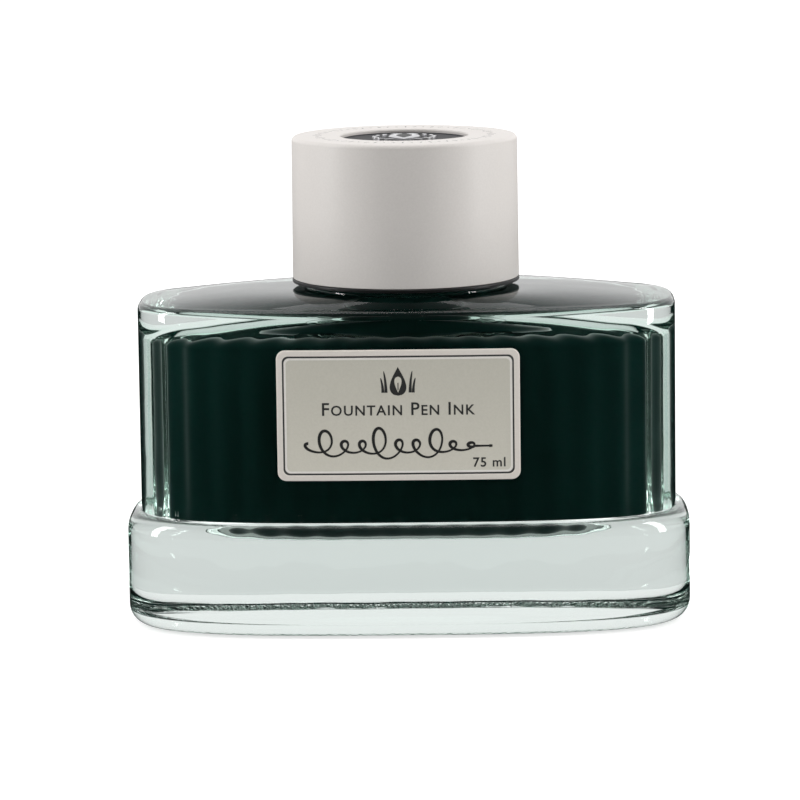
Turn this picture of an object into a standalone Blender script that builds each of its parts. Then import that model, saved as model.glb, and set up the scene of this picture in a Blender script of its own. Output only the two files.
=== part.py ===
"""Inkwell: a moulded glass ink bottle with its ink, a front label and a two-part screw cap.

Frame: metres, +Z up, the bottle stands on z = 0 and its neck's axis is the Z axis.
+X runs along the wide side and the label faces -Y.
"""
import math

import bmesh
import bpy
import numpy as np

MM = 0.001

# Driving dimensions, in millimetres -----------------------------------------------------------

# Plan sections are superellipses: half width along X, half depth along Y.
PLAN_EXPONENT = 3.3
BASE_HALF_WIDTH = 46.5
BASE_HALF_DEPTH = 22.0
BASE_TOP = 18.7
BASE_FOOT_FILLET = 3.2
BASE_SHOULDER_HEIGHT = 3.1
BEARING_LAND_WIDTH = 4.0
PUSH_UP = 0.8

LEDGE = 2.3
BODY_RIM_HEIGHT = 53.3
BODY_RIM_FILLET = 1.3
SHOULDER_RISE = 1.9

COLLAR_RADIUS = 16.6
COLLAR_TOP = 55.6
NECK_RADIUS = 14.8
NECK_TOP = 72.0
NECK_CHAMFER = 0.5
BORE_RADIUS = 12.2

# The cavity for the ink, with shallow upright ribs all round its wall.
CAVITY_HALF_WIDTH = 38.4
CAVITY_HALF_DEPTH = 16.1
CAVITY_EXPONENT = 3.5
CAVITY_FLOOR = 15.0
CAVITY_FLOOR_FILLET = 1.8
ARCH_SPRING = 46.4
ARCH_RISE = 3.8
CEILING_RISE = 2.0
RIB_COUNT = 36
RIB_HEIGHT = 0.6
POINTS_PER_RIB = 4
INK_LEVEL = 57.0

# A two-start right-hand thread: one turn lifts the cap by the lead.
THREAD_LEAD = 8.0
THREAD_STARTS = 2
THREAD_TURNS = 0.75
NECK_THREAD_FOOT = 61.2
NECK_THREAD_CREST = 16.1
CAP_THREAD_FOOT = 60.2
CAP_THREAD_PHASE = math.radians(45.0)
CAP_THREAD_CREST = 15.2
THREAD_ROOT_WIDTH = 2.0
THREAD_CREST_WIDTH = 0.9
THREAD_EMBED = 0.2

# The cap, from the inside out.
LINER_RADIUS = 16.0
LINER_THICKNESS = 0.7
INSERT_BORE = 16.5
INSERT_RADIUS = 17.3
INSERT_FOOT = 55.9
INSERT_TOP = 74.8
FLANGE_RADIUS = 18.7
FLANGE_HEIGHT = 0.5
STANDOFF_INNER = 12.0
STANDOFF_OUTER = 13.5
STANDOFF_TOP = 77.6
COVER_FOOT = 56.7
COVER_TOP = 79.87
COVER_FOOT_RADIUS = 18.63
COVER_TOP_RADIUS = 18.5
COVER_BORE = 17.6
COVER_FILLET = 0.5
COVER_PLATE_UNDERSIDE = 77.9
BADGE_POCKET_RADIUS = 10.5
BADGE_POCKET_FLOOR = 78.7
BADGE_RADIUS = 10.2
BADGE_THICKNESS = 0.3
EMBLEM_THICKNESS = 0.25
EMBLEM_LENGTH = 8.6
EMBLEM_WIDTH = 6.4

LABEL_WIDTH = 39.2
LABEL_HEIGHT = 21.25
LABEL_CENTRE_X = -1.15
LABEL_CENTRE_Z = 36.35
LABEL_CORNER = 1.3
LABEL_THICKNESS = 0.3

GAP = 0.3
OUTER_POINTS = 80
TURNED_STEPS = 56
THREAD_STEPS_PER_TURN = 36


def clear_scene():
    for old in list(bpy.data.objects):
        bpy.data.objects.remove(old, do_unlink=True)


def new_collection(name):
    collection = bpy.data.collections.new(name)
    bpy.context.scene.collection.children.link(collection)
    return collection


def principled(name, colour, roughness, metallic=0.0, transmission=0.0, ior=1.5):
    material = bpy.data.materials.new(name)
    material.use_nodes = True
    shader = material.node_tree.nodes["Principled BSDF"]
    shader.inputs["Base Color"].default_value = (*colour, 1.0)
    shader.inputs["Roughness"].default_value = roughness
    shader.inputs["Metallic"].default_value = metallic
    shader.inputs["Transmission Weight"].default_value = transmission
    shader.inputs["IOR"].default_value = ior
    return material


def add_object(name, mesh, collection, material=None):
    new = bpy.data.objects.new(name, mesh)
    collection.objects.link(new)
    if material:
        mesh.materials.append(material)
    return new


def hide_as_cutter(cutter):
    cutter.hide_render = True
    cutter.display_type = "WIRE"


def smooth(mesh, degrees=35.0):
    mesh.shade_smooth()
    mesh.set_sharp_from_angle(angle=math.radians(degrees))


def boolean(target, tool, operation):
    modifier = target.modifiers.new(f"{operation.lower()} {tool.name}", "BOOLEAN")
    modifier.operation = operation
    modifier.solver = "EXACT"
    modifier.object = tool


# Sections and lofts ---------------------------------------------------------------------------

def superellipse(half_width, half_depth, exponent, count):
    """Points spaced evenly along a superellipse, counter-clockwise from above, from +X."""
    turn = np.linspace(0.0, 2.0 * math.pi, 4001)
    cosine, sine = np.cos(turn), np.sin(turn)
    x = half_width * np.sign(cosine) * np.abs(cosine) ** (2.0 / exponent)
    y = half_depth * np.sign(sine) * np.abs(sine) ** (2.0 / exponent)
    length = np.concatenate(([0.0], np.cumsum(np.hypot(np.diff(x), np.diff(y)))))
    wanted = np.arange(count) * length[-1] / count
    return np.column_stack((np.interp(wanted, length, x), np.interp(wanted, length, y)))


def level_ring(plan, height):
    return np.column_stack((plan, np.full(len(plan), height)))


def base_ring(inset, height, count=OUTER_POINTS):
    plan = superellipse(BASE_HALF_WIDTH - inset, BASE_HALF_DEPTH - inset, PLAN_EXPONENT, count)
    return level_ring(plan, height)


def round_ring(radius, height, count=OUTER_POINTS):
    return level_ring(superellipse(radius, radius, 2.0, count), height)


def ribbed_ring(inset, height, rib_share=1.0):
    """A section of the cavity, with its ribs standing inward by a share of their full height."""
    count = RIB_COUNT * POINTS_PER_RIB
    half_width = CAVITY_HALF_WIDTH - inset
    half_depth = CAVITY_HALF_DEPTH - inset
    plan = superellipse(half_width, half_depth, CAVITY_EXPONENT, count)
    along = np.roll(plan, -1, axis=0) - np.roll(plan, 1, axis=0)
    inward = np.column_stack((-along[:, 1], along[:, 0]))
    inward /= np.linalg.norm(inward, axis=1, keepdims=True)
    phase = 2.0 * math.pi * np.arange(count) / POINTS_PER_RIB
    height_share = 0.5 + 0.5 * np.cos(phase)
    return level_ring(plan + inward * (RIB_HEIGHT * rib_share * height_share)[:, None], height)


def loft(name, rings, collection, material=None):
    """Skin a stack of equal-count rings, bottom to top, and close both ends with a flat face."""
    shape = bmesh.new()
    rows = [[shape.verts.new(point * MM) for point in ring] for ring in rings]
    count = len(rows[0])
    for lower, upper in zip(rows, rows[1:]):
        for i in range(count):
            j = (i + 1) % count
            shape.faces.new((lower[i], lower[j], upper[j], upper[i]))
    shape.faces.new(list(reversed(rows[0])))
    shape.faces.new(rows[-1])
    mesh = bpy.data.meshes.new(name)
    shape.to_mesh(mesh)
    shape.free()
    return add_object(name, mesh, collection, material)


def quarter(steps):
    """Sine and cosine shares along a quarter round, from flat to upright."""
    for i in range(1, steps + 1):
        angle = 0.5 * math.pi * i / steps
        yield math.sin(angle), math.cos(angle)


# Turned pieces --------------------------------------------------------------------------------

def turned(name, profile, collection, material, steps=TURNED_STEPS):
    """Turn a profile of (radius, height) points, which starts on the axis and runs down outside."""
    mesh = bpy.data.meshes.new(name)
    points = [(radius * MM, 0.0, height * MM) for radius, height in profile]
    edges = [(i, i + 1) for i in range(len(points) - 1)]
    mesh.from_pydata(points, edges, [])
    piece = add_object(name, mesh, collection, material)
    screw = piece.modifiers.new("turn", "SCREW")
    screw.steps = steps
    screw.render_steps = steps
    screw.use_merge_vertices = True
    screw.merge_threshold = 0.00001
    return piece


def thread_ridge(name, root, crest, foot, phase, collection):
    """One start of a thread: a ridge that climbs from foot and fades in and out at its ends."""
    sections = round(THREAD_STEPS_PER_TURN * THREAD_TURNS) + 1
    shape = bmesh.new()
    rows = []
    for i in range(sections):
        share = i / (sections - 1)
        turn = phase + 2.0 * math.pi * THREAD_TURNS * share
        middle = foot + THREAD_LEAD * THREAD_TURNS * share
        fade = max(0.15, min(1.0, 6.0 * share, 6.0 * (1.0 - share)))
        reach = root + (crest - root) * fade
        half_root = 0.5 * THREAD_ROOT_WIDTH
        half_crest = 0.5 * THREAD_CREST_WIDTH
        corners = [
            (root, middle - half_root),
            (reach, middle - half_crest),
            (reach, middle + half_crest),
            (root, middle + half_root),
        ]
        place = [(r * math.cos(turn) * MM, r * math.sin(turn) * MM, z * MM) for r, z in corners]
        rows.append([shape.verts.new(point) for point in place])
    for here, there in zip(rows, rows[1:]):
        for i in range(4):
            j = (i + 1) % 4
            shape.faces.new((here[i], here[j], there[j], there[i]))
    shape.faces.new(list(reversed(rows[0])))
    shape.faces.new(rows[-1])
    bmesh.ops.recalc_face_normals(shape, faces=shape.faces)
    mesh = bpy.data.meshes.new(name)
    shape.to_mesh(mesh)
    shape.free()
    ridge = add_object(name, mesh, collection)
    hide_as_cutter(ridge)
    return ridge


def add_thread(piece, wall_radius, crest, foot, phase, collection):
    embed = THREAD_EMBED if crest < wall_radius else -THREAD_EMBED
    for start in range(THREAD_STARTS):
        name = f"{piece.name}_thread_{start + 1}"
        turn = phase + 2.0 * math.pi * start / THREAD_STARTS
        ridge = thread_ridge(name, wall_radius + embed, crest, foot, turn, collection)
        boolean(piece, ridge, "UNION")


# The bottle -----------------------------------------------------------------------------------

def foot_rings():
    """The underside: a shallow push-up, the flat land it stands on and the rounded foot."""
    land_outer = BASE_FOOT_FILLET
    land_inner = land_outer + BEARING_LAND_WIDTH
    rings = [
        base_ring(land_inner + PUSH_UP, PUSH_UP),
        base_ring(land_inner, 0.0),
        base_ring(land_outer, 0.0),
    ]
    for sine, cosine in quarter(3):
        inset = BASE_FOOT_FILLET * (1.0 - sine)
        rings.append(base_ring(inset, BASE_FOOT_FILLET * (1.0 - cosine)))
    return rings


def body_rings():
    """The base block's rounded top, the ledge and the upright body with its rounded rim."""
    rings = [base_ring(0.0, BASE_TOP - BASE_SHOULDER_HEIGHT)]
    for sine, cosine in quarter(4):
        height = BASE_TOP - BASE_SHOULDER_HEIGHT * (1.0 - sine)
        rings.append(base_ring(LEDGE * (1.0 - cosine), height))
    rings.append(base_ring(LEDGE, BODY_RIM_HEIGHT - BODY_RIM_FILLET))
    for sine, cosine in quarter(3):
        inset = LEDGE + BODY_RIM_FILLET * (1.0 - cosine)
        rings.append(base_ring(inset, BODY_RIM_HEIGHT - BODY_RIM_FILLET * (1.0 - sine)))
    return rings


def shoulder_rings(steps=4):
    """The dome between the body's rim and the round collar, rising most at the rim."""
    rim = base_ring(LEDGE + BODY_RIM_FILLET, 0.0)[:, :2]
    collar = round_ring(COLLAR_RADIUS, 0.0)[:, :2]
    rings = []
    for i in range(1, steps + 1):
        share = i / steps
        rise = SHOULDER_RISE * math.sin(0.5 * math.pi * share)
        rings.append(level_ring(rim + (collar - rim) * share, BODY_RIM_HEIGHT + rise))
    return rings


def neck_rings():
    return [
        round_ring(COLLAR_RADIUS, COLLAR_TOP - 0.2),
        round_ring(COLLAR_RADIUS - 0.2, COLLAR_TOP),
        round_ring(NECK_RADIUS, COLLAR_TOP),
        round_ring(NECK_RADIUS, NECK_TOP - NECK_CHAMFER),
        round_ring(NECK_RADIUS - NECK_CHAMFER, NECK_TOP),
    ]


def cavity_rings(inset=0.0):
    """The ink's space: its floor, the ribbed wall, and a ceiling that arches in to the bore."""
    count = RIB_COUNT * POINTS_PER_RIB
    rings = [ribbed_ring(CAVITY_FLOOR_FILLET + inset, CAVITY_FLOOR + inset, 0.15)]
    for sine, cosine in quarter(2):
        height = CAVITY_FLOOR + inset + CAVITY_FLOOR_FILLET * (1.0 - cosine)
        reach = inset + CAVITY_FLOOR_FILLET * (1.0 - sine)
        rings.append(ribbed_ring(reach, height, 0.15 + 0.35 * sine))
    rings.append(ribbed_ring(inset, CAVITY_FLOOR + CAVITY_FLOOR_FILLET + 4.0))
    rings.append(ribbed_ring(inset, ARCH_SPRING))
    half_depth = CAVITY_HALF_DEPTH - inset
    bore_radius = BORE_RADIUS - inset
    last = math.acos(bore_radius / half_depth)
    for share in (0.35, 0.7, 1.0):
        angle = share * last
        height = ARCH_SPRING + (ARCH_RISE - inset) * math.sin(angle)
        rings.append(ribbed_ring(inset + half_depth * (1.0 - math.cos(angle)), height, 1.0 - share))
    arch = rings[-1]
    bore = round_ring(bore_radius, 0.0, count)
    for share in (0.25, 0.55, 1.0):
        plan = arch[:, :2] + (bore - arch)[:, :2] * share
        height = arch[0][2] + CEILING_RISE * math.sin(0.5 * math.pi * share)
        rings.append(level_ring(plan, height))
    return rings


def make_bottle(parts, cutters):
    glass = principled("bottle glass", (0.82, 0.9, 0.87), 0.02, transmission=1.0, ior=1.52)
    rings = foot_rings() + body_rings() + shoulder_rings() + neck_rings()
    bottle = loft("glass_bottle", rings, parts, glass)
    smooth(bottle.data)
    hollow = cavity_rings()
    hollow.append(round_ring(BORE_RADIUS, NECK_TOP + 1.0, len(hollow[0])))
    cavity = loft("bottle_cavity", hollow, cutters)
    hide_as_cutter(cavity)
    boolean(bottle, cavity, "DIFFERENCE")
    add_thread(bottle, NECK_RADIUS, NECK_THREAD_CREST, NECK_THREAD_FOOT, 0.0, cutters)


def make_ink(parts):
    """The ink, a gap's width inside the cavity, filled up into the bore."""
    ink = principled("green ink", (0.002, 0.02, 0.017), 0.05, ior=1.34)
    rings = cavity_rings(GAP)
    rings.append(round_ring(BORE_RADIUS - GAP, INK_LEVEL, len(rings[0])))
    smooth(loft("ink_fill", rings, parts, ink).data)


def label_columns():
    """Places along the label's width and the half height of the card there."""
    corner = LABEL_CORNER
    half_width = 0.5 * LABEL_WIDTH
    half_height = 0.5 * LABEL_HEIGHT
    ends = [(0.0, half_height - corner)]
    for sine, cosine in quarter(4):
        ends.append((corner * (1.0 - cosine), half_height - corner * (1.0 - sine)))
    left = [(inset - half_width, half) for inset, half in ends]
    inner = np.linspace(corner - half_width, half_width - corner, 15)[1:-1]
    middle = [(float(x), half_height) for x in inner]
    right = [(-x, half) for x, half in reversed(left)]
    return left + middle + right


def front_face_y(x):
    """The body's front wall at a place across its width."""
    half_width = BASE_HALF_WIDTH - LEDGE
    half_depth = BASE_HALF_DEPTH - LEDGE
    return -half_depth * (1.0 - abs(x / half_width) ** PLAN_EXPONENT) ** (1.0 / PLAN_EXPONENT)


def make_label(parts):
    """A card with round corners that follows the front wall, made as a sheet and thickened."""
    card = principled("label card", (0.58, 0.56, 0.5), 0.6)
    shape = bmesh.new()
    columns = []
    for offset, half in label_columns():
        x = LABEL_CENTRE_X + offset
        y = front_face_y(x) - GAP
        ends = (LABEL_CENTRE_Z - half, LABEL_CENTRE_Z + half)
        columns.append([shape.verts.new((x * MM, y * MM, z * MM)) for z in ends])
    for (low, high), (next_low, next_high) in zip(columns, columns[1:]):
        shape.faces.new((low, next_low, next_high, high))
    mesh = bpy.data.meshes.new("front_label")
    shape.to_mesh(mesh)
    shape.free()
    label = add_object("front_label", mesh, parts, card)
    solidify = label.modifiers.new("card thickness", "SOLIDIFY")
    solidify.thickness = LABEL_THICKNESS * MM
    solidify.offset = 1.0


# The cap --------------------------------------------------------------------------------------

def make_liner(parts):
    foam = principled("liner foam", (0.8, 0.79, 0.76), 0.85)
    foot = NECK_TOP + GAP
    top = foot + LINER_THICKNESS
    profile = [(0.0, top), (LINER_RADIUS, top), (LINER_RADIUS, foot), (0.0, foot)]
    smooth(turned("sealing_liner", profile, parts, foam).data)


def insert_profile():
    """Down the outside of the inner cap, round its flange and back up its bore to the axis."""
    flange_top = INSERT_FOOT + FLANGE_HEIGHT
    ceiling = NECK_TOP + GAP + LINER_THICKNESS + GAP
    return [
        (0.0, INSERT_TOP),
        (STANDOFF_INNER, INSERT_TOP),
        (STANDOFF_INNER, STANDOFF_TOP),
        (STANDOFF_OUTER, STANDOFF_TOP),
        (STANDOFF_OUTER, INSERT_TOP),
        (INSERT_RADIUS - 0.5, INSERT_TOP),
        (INSERT_RADIUS, INSERT_TOP - 0.5),
        (INSERT_RADIUS, flange_top),
        (FLANGE_RADIUS - 0.1, flange_top),
        (FLANGE_RADIUS, flange_top - 0.1),
        (FLANGE_RADIUS, INSERT_FOOT + 0.1),
        (FLANGE_RADIUS - 0.1, INSERT_FOOT),
        (INSERT_BORE, INSERT_FOOT),
        (INSERT_BORE, ceiling),
        (0.0, ceiling),
    ]


def make_insert(parts, cutters):
    plastic = principled("insert plastic", (0.012, 0.012, 0.013), 0.35)
    insert = turned("threaded_insert", insert_profile(), parts, plastic)
    smooth(insert.data)
    add_thread(insert, INSERT_BORE, CAP_THREAD_CREST, CAP_THREAD_FOOT, CAP_THREAD_PHASE, cutters)


def cover_profile():
    """The badge pocket, the top plate, the drafted outside and the plain bore."""
    profile = [
        (0.0, BADGE_POCKET_FLOOR),
        (BADGE_POCKET_RADIUS, BADGE_POCKET_FLOOR),
        (BADGE_POCKET_RADIUS, COVER_TOP),
        (COVER_TOP_RADIUS - COVER_FILLET, COVER_TOP),
    ]
    for sine, cosine in quarter(3):
        radius = COVER_TOP_RADIUS - COVER_FILLET * (1.0 - sine)
        profile.append((radius, COVER_TOP - COVER_FILLET * (1.0 - cosine)))
    profile += [
        (COVER_FOOT_RADIUS, COVER_FOOT + 0.1),
        (COVER_FOOT_RADIUS - 0.1, COVER_FOOT),
        (COVER_BORE, COVER_FOOT),
        (COVER_BORE, COVER_PLATE_UNDERSIDE),
        (0.0, COVER_PLATE_UNDERSIDE),
    ]
    return profile


def make_cover(parts):
    lacquer = principled("cap lacquer", (0.63, 0.6, 0.56), 0.38)
    smooth(turned("cap_cover", cover_profile(), parts, lacquer).data)


def make_badge(parts):
    """A dark disc in the cap's pocket, a gap's width above the pocket's floor."""
    dark = principled("badge enamel", (0.05, 0.05, 0.055), 0.3, metallic=0.6)
    foot = BADGE_POCKET_FLOOR + GAP
    top = foot + BADGE_THICKNESS
    profile = [(0.0, top), (BADGE_RADIUS, top), (BADGE_RADIUS, foot), (0.0, foot)]
    smooth(turned("badge_disc", profile, parts, dark).data)


def nib_outline():
    """A pen nib seen flat: a point towards -Y, two curved shoulders and a short tail."""
    half = 0.5 * EMBLEM_WIDTH
    point = -0.5 * EMBLEM_LENGTH
    waist = 0.16 * EMBLEM_LENGTH
    tail = 0.5 * EMBLEM_LENGTH
    side = []
    for i in range(9):
        share = i / 8.0
        side.append((half * math.sin(0.5 * math.pi * share) ** 1.5, point + (waist - point) * share))
    side += [(0.82 * half, waist + 0.12 * EMBLEM_LENGTH), (0.5 * half, tail - 0.1)]
    side.append((0.4 * half, tail))
    return side + [(-x, y) for x, y in reversed(side[1:])]


def make_emblem(parts):
    """The bright nib on the disc: a flat outline with half its thickness as extrude."""
    silver = principled("emblem silver", (0.75, 0.75, 0.76), 0.22, metallic=1.0)
    outline = bpy.data.curves.new("badge_emblem", "CURVE")
    outline.dimensions = "2D"
    outline.fill_mode = "BOTH"
    outline.extrude = 0.5 * EMBLEM_THICKNESS * MM
    points = nib_outline()
    spline = outline.splines.new("POLY")
    spline.points.add(len(points) - 1)
    for place, (x, y) in zip(spline.points, points):
        place.co = (x * MM, y * MM, 0.0, 1.0)
    spline.use_cyclic_u = True
    emblem = bpy.data.objects.new("badge_emblem", outline)
    parts.objects.link(emblem)
    outline.materials.append(silver)
    foot = BADGE_POCKET_FLOOR + GAP + BADGE_THICKNESS + GAP
    emblem.location.z = (foot + 0.5 * EMBLEM_THICKNESS) * MM


def put_on_axis(names, axis_name, collection):
    """Parent pieces to an empty on the joint's axis, at the height of the neck's mouth."""
    axis = bpy.data.objects.new(axis_name, None)
    axis.location.z = NECK_TOP * MM
    collection.objects.link(axis)
    bpy.context.view_layer.update()
    for name in names:
        piece = bpy.data.objects[name]
        piece.parent = axis
        piece.matrix_parent_inverse = axis.matrix_world.inverted()


clear_scene()
inkwell = new_collection("inkwell")
cutting_tools = new_collection("cutters")
make_bottle(inkwell, cutting_tools)
make_ink(inkwell)
make_label(inkwell)
make_liner(inkwell)
make_insert(inkwell, cutting_tools)
make_cover(inkwell)
make_badge(inkwell)
make_emblem(inkwell)
put_on_axis(["sealing_liner"], "lift_axis", inkwell)
put_on_axis(["threaded_insert", "cap_cover", "badge_disc", "badge_emblem"], "turn_axis", inkwell)
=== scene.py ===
"""Looks of a glass ink bottle: moulded glass, green ink, a printed card label and a lacquered cap."""
import math

import bmesh
import bpy
import numpy as np
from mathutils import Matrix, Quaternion, Vector


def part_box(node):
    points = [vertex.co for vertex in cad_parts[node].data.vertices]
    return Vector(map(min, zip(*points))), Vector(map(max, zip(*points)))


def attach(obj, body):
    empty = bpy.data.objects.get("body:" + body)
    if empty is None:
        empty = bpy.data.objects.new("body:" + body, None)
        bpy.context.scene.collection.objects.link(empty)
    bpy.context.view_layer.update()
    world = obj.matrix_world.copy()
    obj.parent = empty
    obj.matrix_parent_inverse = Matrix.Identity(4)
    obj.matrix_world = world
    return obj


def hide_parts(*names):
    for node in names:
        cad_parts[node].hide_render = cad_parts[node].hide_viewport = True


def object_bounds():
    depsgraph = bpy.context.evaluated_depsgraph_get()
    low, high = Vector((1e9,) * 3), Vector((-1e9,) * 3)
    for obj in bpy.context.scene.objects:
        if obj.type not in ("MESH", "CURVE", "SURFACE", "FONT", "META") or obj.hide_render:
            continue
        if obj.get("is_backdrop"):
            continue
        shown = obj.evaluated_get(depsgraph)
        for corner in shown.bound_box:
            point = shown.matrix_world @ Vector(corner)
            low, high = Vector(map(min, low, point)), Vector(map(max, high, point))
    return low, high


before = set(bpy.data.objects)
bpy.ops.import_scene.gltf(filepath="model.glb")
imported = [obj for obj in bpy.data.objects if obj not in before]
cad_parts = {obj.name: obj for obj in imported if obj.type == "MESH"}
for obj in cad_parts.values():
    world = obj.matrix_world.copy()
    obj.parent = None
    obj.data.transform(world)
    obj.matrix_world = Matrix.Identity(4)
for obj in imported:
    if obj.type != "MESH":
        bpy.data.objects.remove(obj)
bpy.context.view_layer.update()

MM = 0.001


# The glass bottle ------------------------------------------------------------------------------
# One piece of pressed soda lime glass: an upright obround body on a thicker block, a domed
# shoulder and a threaded neck. Its cavity has shallow upright ribs, and it stands on a
# stippled ring round a pushed-up underside.

glass_low, glass_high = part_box("glass_bottle")
PLAN_EXPONENT = 3.3
BASE_HALF_WIDTH = 0.5 * (glass_high.x - glass_low.x) / MM
BASE_HALF_DEPTH = 0.5 * (glass_high.y - glass_low.y) / MM
NECK_TOP = glass_high.z / MM
BASE_TOP = 18.7
FOOT_FILLET = 3.2
BLOCK_FILLET = 3.1
LAND_WIDTH = 4.0
PUSH_UP = 0.8
UNDERSIDE_DOME = 0.9
LEDGE = 2.3
RIM_HEIGHT = 53.3
RIM_FILLET = 1.3
SHOULDER_RISE = 1.9
COLLAR_RADIUS = 16.6
COLLAR_TOP = 55.6
NECK_RADIUS = 14.8
BORE_RADIUS = 12.2
CAVITY_HALF_WIDTH = 38.4
CAVITY_HALF_DEPTH = 16.1
CAVITY_EXPONENT = 3.5
CAVITY_FLOOR = 15.0
FLOOR_SAG = 0.3
FLOOR_FILLET = 1.8
ARCH_SPRING = 46.4
ARCH_RISE = 3.8
CEILING_RISE = 2.0
RIB_COUNT = 36
RIB_HEIGHT = 0.6
POINTS_PER_RIB = 12
AROUND = RIB_COUNT * POINTS_PER_RIB
THREAD_LEAD = 8.0
THREAD_STARTS = 2
THREAD_TURN = 1.5 * math.pi
NECK_THREAD_FOOT = 61.2
NECK_THREAD_HEIGHT = 1.3
THREAD_ROOT_HALF = 1.0
THREAD_CREST_HALF = 0.45
THREADED_FROM = 59.6
THREADED_TO = 68.81
THREAD_ROW = 0.1


def superellipse(half_width, half_depth, exponent, count=AROUND):
    """Points evenly spaced along a superellipse, counter-clockwise from above, from +X."""
    turn = np.linspace(0.0, 2.0 * math.pi, 8001)
    cosine, sine = np.cos(turn), np.sin(turn)
    x = half_width * np.sign(cosine) * np.abs(cosine) ** (2.0 / exponent)
    y = half_depth * np.sign(sine) * np.abs(sine) ** (2.0 / exponent)
    length = np.concatenate(([0.0], np.cumsum(np.hypot(np.diff(x), np.diff(y)))))
    wanted = np.arange(count) * length[-1] / count
    return np.column_stack((np.interp(wanted, length, x), np.interp(wanted, length, y)))


def at_height(plan, height):
    return np.column_stack((plan, np.broadcast_to(height, len(plan))))


def block_ring(inset, height):
    plan = superellipse(BASE_HALF_WIDTH - inset, BASE_HALF_DEPTH - inset, PLAN_EXPONENT)
    return at_height(plan, height)


def circle(radius, height, count=AROUND):
    turn = 2.0 * math.pi * np.arange(count) / count
    return at_height(np.column_stack((radius * np.cos(turn), radius * np.sin(turn))), height)


def ribbed_ring(inset, height, rib_share=1.0):
    """A section of the cavity, whose ribs stand inward by a share of their full height."""
    plan = superellipse(CAVITY_HALF_WIDTH - inset, CAVITY_HALF_DEPTH - inset, CAVITY_EXPONENT)
    along = np.roll(plan, -1, axis=0) - np.roll(plan, 1, axis=0)
    inward = np.column_stack((-along[:, 1], along[:, 0]))
    inward /= np.linalg.norm(inward, axis=1, keepdims=True)
    wave = 0.5 + 0.5 * np.cos(2.0 * math.pi * np.arange(AROUND) / POINTS_PER_RIB)
    return at_height(plan + inward * (RIB_HEIGHT * rib_share * wave)[:, None], height)


def quarter(steps):
    """Sine and cosine shares along a quarter round, without its first point."""
    angles = [0.5 * math.pi * i / steps for i in range(1, steps + 1)]
    return [(math.sin(angle), math.cos(angle)) for angle in angles]


def skin(name, rings, closed=True):
    """A mesh through a stack of rings of equal count. Its ends are closed with a face each."""
    shape = bmesh.new()
    rows = [[shape.verts.new(Vector(point) * MM) for point in ring] for ring in rings]
    count = len(rows[0])
    for lower, upper in zip(rows, rows[1:]):
        for i in range(count):
            j = (i + 1) % count
            shape.faces.new((lower[i], lower[j], upper[j], upper[i]))
    if closed:
        shape.faces.new(list(reversed(rows[0])))
        shape.faces.new(rows[-1])
    mesh = bpy.data.meshes.new(name)
    shape.to_mesh(mesh)
    shape.free()
    return mesh


def new_piece(name, mesh, body, materials, sharp_degrees=30.0):
    """Put a mesh in the scene as a piece that rides on a body."""
    mesh.shade_smooth()
    mesh.set_sharp_from_angle(angle=math.radians(sharp_degrees))
    for material in materials:
        mesh.materials.append(material)
    piece = bpy.data.objects.new(name, mesh)
    bpy.context.scene.collection.objects.link(piece)
    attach(piece, body)
    return piece


def thread_share(angle, height, foot, phase=0.0):
    """How far a two-start thread stands out of its wall at a place, from 0 to 1."""
    best = np.zeros_like(angle)
    for start in range(THREAD_STARTS):
        turn = np.mod(angle - phase - 2.0 * math.pi * start / THREAD_STARTS, 2.0 * math.pi)
        middle = foot + THREAD_LEAD * turn / (2.0 * math.pi)
        flank = (THREAD_ROOT_HALF - np.abs(height - middle)) / (THREAD_ROOT_HALF - THREAD_CREST_HALF)
        along = turn / THREAD_TURN
        fade = np.clip(np.minimum(8.0 * along, 8.0 * (1.0 - along)), 0.0, 1.0)
        best = np.maximum(best, np.clip(flank, 0.0, 1.0) * fade)
    return best * best * (3.0 - 2.0 * best)


def underside_rings():
    """From the middle of the pushed-up underside out to the land and round the foot."""
    land_inner = FOOT_FILLET + LAND_WIDTH
    rings = []
    for share in (0.08, 0.3, 0.5, 0.7, 0.85, 1.0):
        plan = superellipse(BASE_HALF_WIDTH - land_inner - 1.2, BASE_HALF_DEPTH - land_inner - 1.2,
                            PLAN_EXPONENT) * share
        rings.append(at_height(plan, PUSH_UP + UNDERSIDE_DOME * (1.0 - share ** 2)))
    angle = 2.0 * math.pi * np.arange(AROUND) / AROUND
    uneven = 1.0 + 0.34 * (np.sin(7.0 * angle + 1.0) + 0.7 * np.sin(19.0 * angle)
                           + 0.5 * np.sin(43.0 * angle + 2.0))
    for sine, cosine in quarter(5):
        height = PUSH_UP * cosine * (uneven * sine + 1.0 - sine)
        rings.append(block_ring(land_inner + 1.2 * (1.0 - sine), height))
    rings += [block_ring(land_inner - 1.3, 0.0), block_ring(land_inner - 2.7, 0.0)]
    rings.append(block_ring(FOOT_FILLET, 0.0))
    for sine, cosine in quarter(10):
        rings.append(block_ring(FOOT_FILLET * (1.0 - sine), FOOT_FILLET * (1.0 - cosine)))
    return rings


def wall_rings():
    """The block's side and rounded top, the ledge, the upright body and its rounded rim."""
    rings = [block_ring(0.0, 8.0), block_ring(0.0, 13.0), block_ring(0.0, BASE_TOP - BLOCK_FILLET)]
    for sine, cosine in quarter(10):
        rings.append(block_ring(LEDGE * (1.0 - cosine) * 0.94, BASE_TOP - BLOCK_FILLET * (1.0 - sine)))
    for sine, cosine in quarter(4):
        rings.append(block_ring(LEDGE * (0.94 + 0.06 * sine), BASE_TOP + 0.3 * (1.0 - cosine)))
    for height in (26.0, 32.0, 38.0, 44.0, RIM_HEIGHT - RIM_FILLET):
        rings.append(block_ring(LEDGE, height))
    for sine, cosine in quarter(8):
        inset = LEDGE + RIM_FILLET * (1.0 - cosine)
        rings.append(block_ring(inset, RIM_HEIGHT - RIM_FILLET * (1.0 - sine)))
    return rings


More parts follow.
